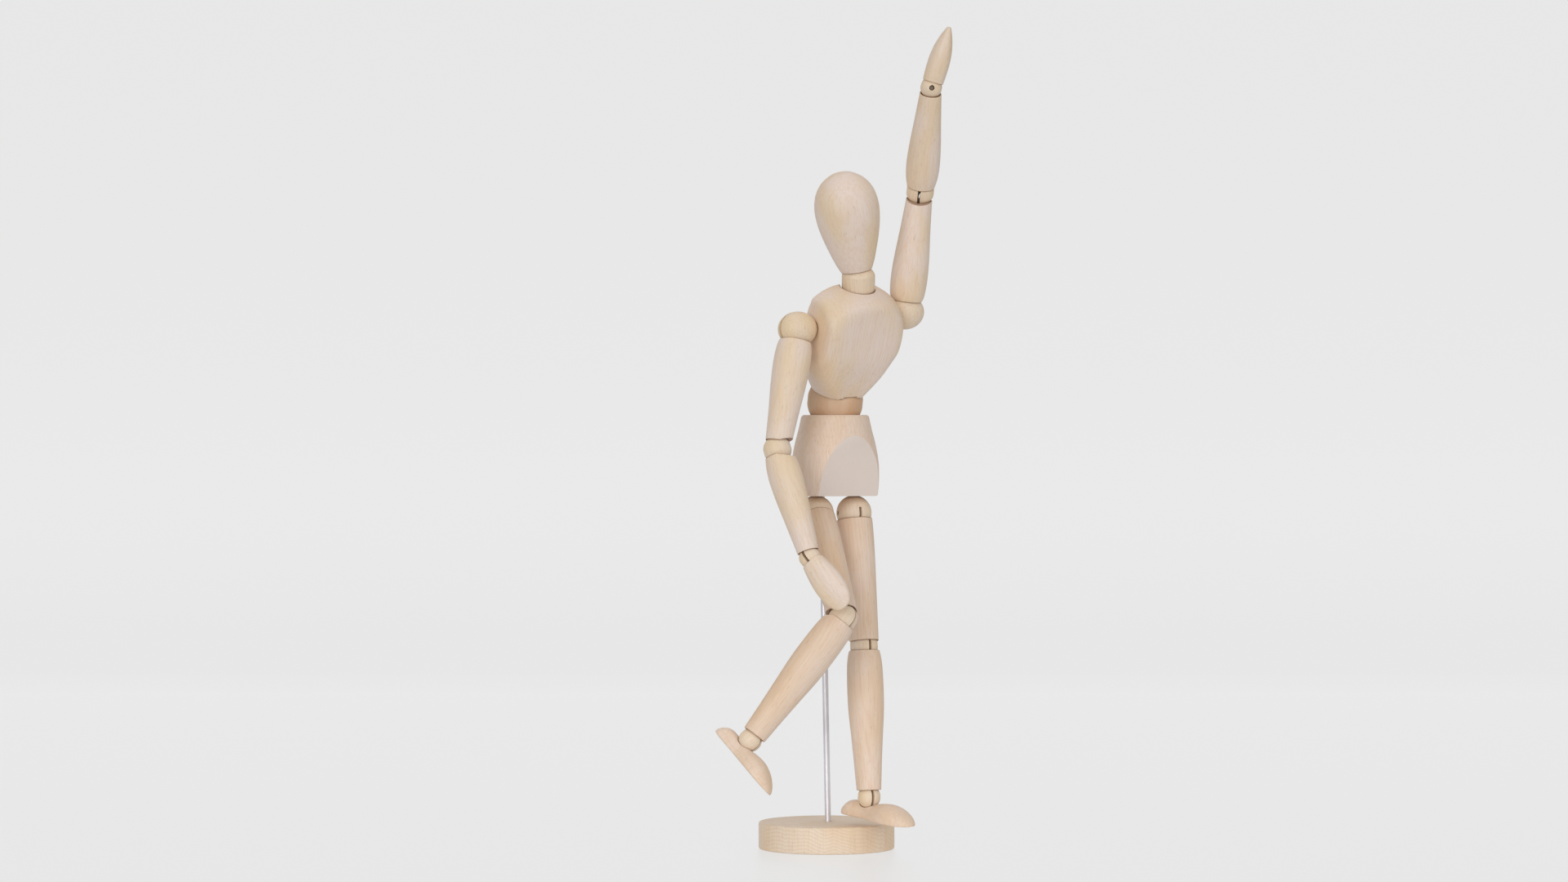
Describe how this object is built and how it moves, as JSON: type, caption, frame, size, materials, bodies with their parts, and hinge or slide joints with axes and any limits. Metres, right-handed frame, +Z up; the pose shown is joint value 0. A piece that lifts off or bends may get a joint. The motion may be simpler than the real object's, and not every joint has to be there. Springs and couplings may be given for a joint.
{
  "type": "wooden mannequin figure",
  "caption": "Jointed wooden lay figure on a steel rod and round wooden base, with sprung ball links that hold drawing poses.",
  "frame": {"origin": "centre of the base's underside", "axes": "+X to the viewer's right, +Y away from the viewer, +Z up"},
  "size_m": [0.1105, 0.117, 0.3894],
  "materials": {
    "wood": "fine-sanded pale hardwood, unvarnished",
    "link_wood": "turned pale hardwood, slightly yellower",
    "steel": "zinc-plated steel",
    "spring_steel": "drawn spring wire"
  },
  "bodies": {
    "support": {"base": "wood", "rod": "steel"},
    "pelvis": {"pelvis": "wood"},
    "waist_spring": {"waist_spring": "spring_steel"},
    "waist_ball": {"waist_ball": "link_wood"},
    "chest": {"chest": "wood", "shoulder_spring": "spring_steel"},
    "neck_spring": {"neck_spring": "spring_steel"},
    "neck_ball": {"neck_ball": "link_wood"},
    "head": {"head": "wood"},
    "shoulder_ball_right": {"shoulder_ball_right": "link_wood", "shoulder_pin_right": "steel"},
    "upper_arm_right": {"upper_arm_right": "wood", "upper_arm_spring_right": "spring_steel"},
    "elbow_ball_right": {"elbow_ball_right": "link_wood", "elbow_pin_right": "steel"},
    "forearm_right": {"forearm_right": "wood", "forearm_spring_right": "spring_steel"},
    "wrist_ball_right": {"wrist_ball_right": "link_wood", "wrist_pin_right": "steel", "hand_hook_right": "spring_steel"},
    "hand_right": {"hand_right": "wood"},
    "hip_spring_right": {"hip_spring_right": "spring_steel"},
    "hip_ball_right": {"hip_ball_right": "link_wood", "hip_pin_right": "steel"},
    "thigh_right": {"thigh_right": "wood", "thigh_spring_right": "spring_steel"},
    "knee_ball_right": {"knee_ball_right": "link_wood", "knee_pin_right": "steel"},
    "shin_right": {"shin_right": "wood", "shin_spring_right": "spring_steel"},
    "ankle_ball_right": {"ankle_ball_right": "link_wood", "ankle_pin_right": "steel", "foot_hook_right": "spring_steel"},
    "foot_right": {"foot_right": "wood"},
    "shoulder_ball_left": {"shoulder_ball_left": "link_wood", "shoulder_pin_left": "steel"},
    "upper_arm_left": {"upper_arm_left": "wood", "upper_arm_spring_left": "spring_steel"},
    "elbow_ball_left": {"elbow_ball_left": "link_wood", "elbow_pin_left": "steel"},
    "forearm_left": {"forearm_left": "wood", "forearm_spring_left": "spring_steel"},
    "wrist_ball_left": {"wrist_ball_left": "link_wood", "wrist_pin_left": "steel", "hand_hook_left": "spring_steel"},
    "hand_left": {"hand_left": "wood"},
    "hip_spring_left": {"hip_spring_left": "spring_steel"},
    "hip_ball_left": {"hip_ball_left": "link_wood", "hip_pin_left": "steel"},
    "thigh_left": {"thigh_left": "wood", "thigh_spring_left": "spring_steel"},
    "knee_ball_left": {"knee_ball_left": "link_wood", "knee_pin_left": "steel"},
    "shin_left": {"shin_left": "wood", "shin_spring_left": "spring_steel"},
    "ankle_ball_left": {"ankle_ball_left": "link_wood", "ankle_pin_left": "steel", "foot_hook_left": "spring_steel"},
    "foot_left": {"foot_left": "wood"}
  },
  "joints": [
    {"name": "pelvis_turn", "type": "hinge", "parent": "support", "child": "pelvis", "pos_m": [-0.00219, 0, 0.16297], "axis": [-0.0193, 0, 0.9998], "range_deg": [-180, 180]},
    {"name": "waist_lean", "type": "hinge", "parent": "pelvis", "child": "waist_spring", "pos_m": [0.004, -0.0109, 0.2144], "axis": [-0.4067, 0.9135, 0], "range_deg": [-18, 18]},
    {"name": "waist_bend", "type": "hinge", "parent": "waist_spring", "child": "waist_ball", "pos_m": [0.004, -0.0109, 0.2144], "axis": [0.9135, 0.4067, 0], "range_deg": [-45, 4], "deforming": ["waist_spring"]},
    {"name": "chest_turn", "type": "hinge", "parent": "waist_ball", "child": "chest", "pos_m": [0.004, -0.0109, 0.2144], "axis": [0.1719, -0.3861, 0.9063], "range_deg": [-60, 60]},
    {"name": "neck_nod", "type": "hinge", "parent": "chest", "child": "neck_spring", "pos_m": [0.01466, -0.03484, 0.27059], "axis": [0.4322, 0.8563, 0.2828], "range_deg": [-20, 45], "deforming": ["neck_spring"]},
    {"name": "neck_tilt", "type": "hinge", "parent": "neck_spring", "child": "neck_ball", "pos_m": [0.01466, -0.03484, 0.27059], "axis": [-0.8852, 0.3431, 0.3141], "range_deg": [-22, 22]},
    {"name": "head_turn", "type": "hinge", "parent": "neck_ball", "child": "head", "pos_m": [0.01466, -0.03484, 0.27059], "axis": [-0.1568, -0.2375, 0.9587], "range_deg": [-80, 80]},
    {"name": "shoulder_swing_right", "type": "hinge", "parent": "chest", "child": "shoulder_ball_right", "pos_m": [-0.01407, -0.04245, 0.24802], "axis": [-0.8446, -0.5312, -0.0661], "range_deg": [-90, 170], "deforming": ["shoulder_spring"]},
    {"name": "arm_raise_right", "type": "hinge", "parent": "shoulder_ball_right", "child": "upper_arm_right", "pos_m": [-0.01407, -0.04245, 0.24802], "axis": [-0.5282, 0.8471, -0.0587], "range_deg": [-14, 15]},
    {"name": "elbow_bend_right", "type": "hinge", "parent": "upper_arm_right", "child": "elbow_ball_right", "pos_m": [-0.0235, -0.05226, 0.19144], "axis": [-0.1567, -0.9684, 0.1939], "range_deg": [-28, 46], "deforming": ["upper_arm_spring_right"]},
    {"name": "forearm_turn_right", "type": "hinge", "parent": "elbow_ball_right", "child": "forearm_right", "pos_m": [-0.0235, -0.05226, 0.19144], "axis": [0.2814, -0.232, -0.9311], "range_deg": [-64, 90]},
    {"name": "wrist_bend_right", "type": "hinge", "parent": "forearm_right", "child": "wrist_ball_right", "pos_m": [-0.00837, -0.06474, 0.14134], "axis": [-0.4055, -0.9082, 0.1037], "range_deg": [-60, 28], "deforming": ["forearm_spring_right"]},
    {"name": "shoulder_swing_left", "type": "hinge", "parent": "chest", "child": "shoulder_ball_left", "pos_m": [0.03722, -0.01291, 0.25695], "axis": [-0.8446, -0.5312, -0.0661], "range_deg": [-230, 22]},
    {"name": "arm_raise_left", "type": "hinge", "parent": "shoulder_ball_left", "child": "upper_arm_left", "pos_m": [0.03722, -0.01291, 0.25695], "axis": [-0.5329, 0.8224, 0.1994], "range_deg": [-4, 15]},
    {"name": "elbow_bend_left", "type": "hinge", "parent": "upper_arm_left", "child": "elbow_ball_left", "pos_m": [0.04424, -0.02219, 0.31397], "axis": [0.9876, -0.0811, -0.1348], "range_deg": [-22, 50], "deforming": ["upper_arm_spring_left"]},
    {"name": "forearm_turn_left", "type": "hinge", "parent": "elbow_ball_left", "child": "forearm_left", "pos_m": [0.04424, -0.02219, 0.31397], "axis": [-0.0802, 0.4772, -0.8751], "range_deg": [-90, 90]},
    {"name": "wrist_bend_left", "type": "hinge", "parent": "forearm_left", "child": "wrist_ball_left", "pos_m": [0.04856, -0.04787, 0.36106], "axis": [-0.8597, 0.4111, 0.303], "range_deg": [-62, 20], "deforming": ["forearm_spring_left"]},
    {"name": "hip_spread_right", "type": "hinge", "parent": "pelvis", "child": "hip_spring_right", "pos_m": [-0.00509, -0.01615, 0.1611], "axis": [-0.5, 0.866, 0], "range_deg": [-3, 14], "deforming": ["hip_spring_right"]},
    {"name": "hip_turn_right", "type": "hinge", "parent": "hip_spring_right", "child": "hip_ball_right", "pos_m": [-0.00509, -0.01615, 0.1611], "axis": [0, 0, -1], "range_deg": [-30, 30]},
    {"name": "thigh_swing_right", "type": "hinge", "parent": "hip_ball_right", "child": "thigh_right", "pos_m": [-0.00509, -0.01615, 0.1611], "axis": [-0.9583, -0.2857, 0], "range_deg": [-53, 6]},
    {"name": "knee_bend_right", "type": "hinge", "parent": "thigh_right", "child": "knee_ball_right", "pos_m": [0.0071, -0.05706, 0.11302], "axis": [0.4795, 0.7247, -0.4949], "range_deg": [-56, 1.5], "deforming": ["thigh_spring_right"]},
    {"name": "shin_turn_right", "type": "hinge", "parent": "knee_ball_right", "child": "shin_right", "pos_m": [0.0071, -0.05706, 0.11302], "axis": [-0.6031, -0.1375, -0.7857], "range_deg": [-60, 60]},
    {"name": "ankle_bend_right", "type": "hinge", "parent": "shin_right", "child": "ankle_ball_right", "pos_m": [-0.03608, -0.06691, 0.05676], "axis": [-0.3491, -0.8402, 0.415], "range_deg": [-22, 22], "deforming": ["shin_spring_right"]},
    {"name": "hip_spread_left", "type": "hinge", "parent": "pelvis", "child": "hip_spring_left", "pos_m": [0.01309, -0.00565, 0.1611], "axis": [-0.5, 0.866, 0], "range_deg": [-30, 3], "deforming": ["hip_spring_left"]},
    {"name": "hip_turn_left", "type": "hinge", "parent": "hip_spring_left", "child": "hip_ball_left", "pos_m": [0.01309, -0.00565, 0.1611], "axis": [0, 0, 1], "range_deg": [-30, 30]},
    {"name": "thigh_swing_left", "type": "hinge", "parent": "hip_ball_left", "child": "thigh_left", "pos_m": [0.01309, -0.00565, 0.1611], "axis": [-0.9285, -0.3714, 0], "range_deg": [-4, 60]},
    {"name": "knee_bend_left", "type": "hinge", "parent": "thigh_left", "child": "knee_ball_left", "pos_m": [0.01765, -0.01704, 0.09798], "axis": [0.8955, 0.4448, -0.0156], "range_deg": [-5, 8], "deforming": ["thigh_spring_left"]},
    {"name": "shin_turn_left", "type": "hinge", "parent": "knee_ball_left", "child": "shin_left", "pos_m": [0.01765, -0.01704, 0.09798], "axis": [0.0323, -0.1, -0.9945], "range_deg": [-60, 60]},
    {"name": "ankle_bend_left", "type": "hinge", "parent": "shin_left", "child": "ankle_ball_left", "pos_m": [0.01996, -0.0242, 0.02678], "axis": [-0.9388, -0.3444, 0.0041], "range_deg": [-22, 22], "deforming": ["shin_spring_left"]},
    {"name": "foot_turn_right", "type": "hinge", "parent": "ankle_ball_right", "child": "foot_right", "pos_m": [-0.03608, -0.06691, 0.05676], "axis": [-0.748, -0.017, -0.6634], "range_deg": [-45, 45]},
    {"name": "hand_turn_right", "type": "hinge", "parent": "wrist_ball_right", "child": "hand_right", "pos_m": [-0.00837, -0.06474, 0.14134], "axis": [0.5466, -0.3319, -0.7688], "range_deg": [-90, 90]},
    {"name": "foot_turn_left", "type": "hinge", "parent": "ankle_ball_left", "child": "foot_left", "pos_m": [0.01996, -0.0242, 0.02678], "axis": [0.0451, -0.1109, 0.9928], "range_deg": [-45, 45]},
    {"name": "hand_turn_left", "type": "hinge", "parent": "wrist_ball_left", "child": "hand_left", "pos_m": [0.04856, -0.04787, 0.36106], "axis": [-0.2837, 0.109, -0.9527], "range_deg": [-90, 90]}
  ]
}
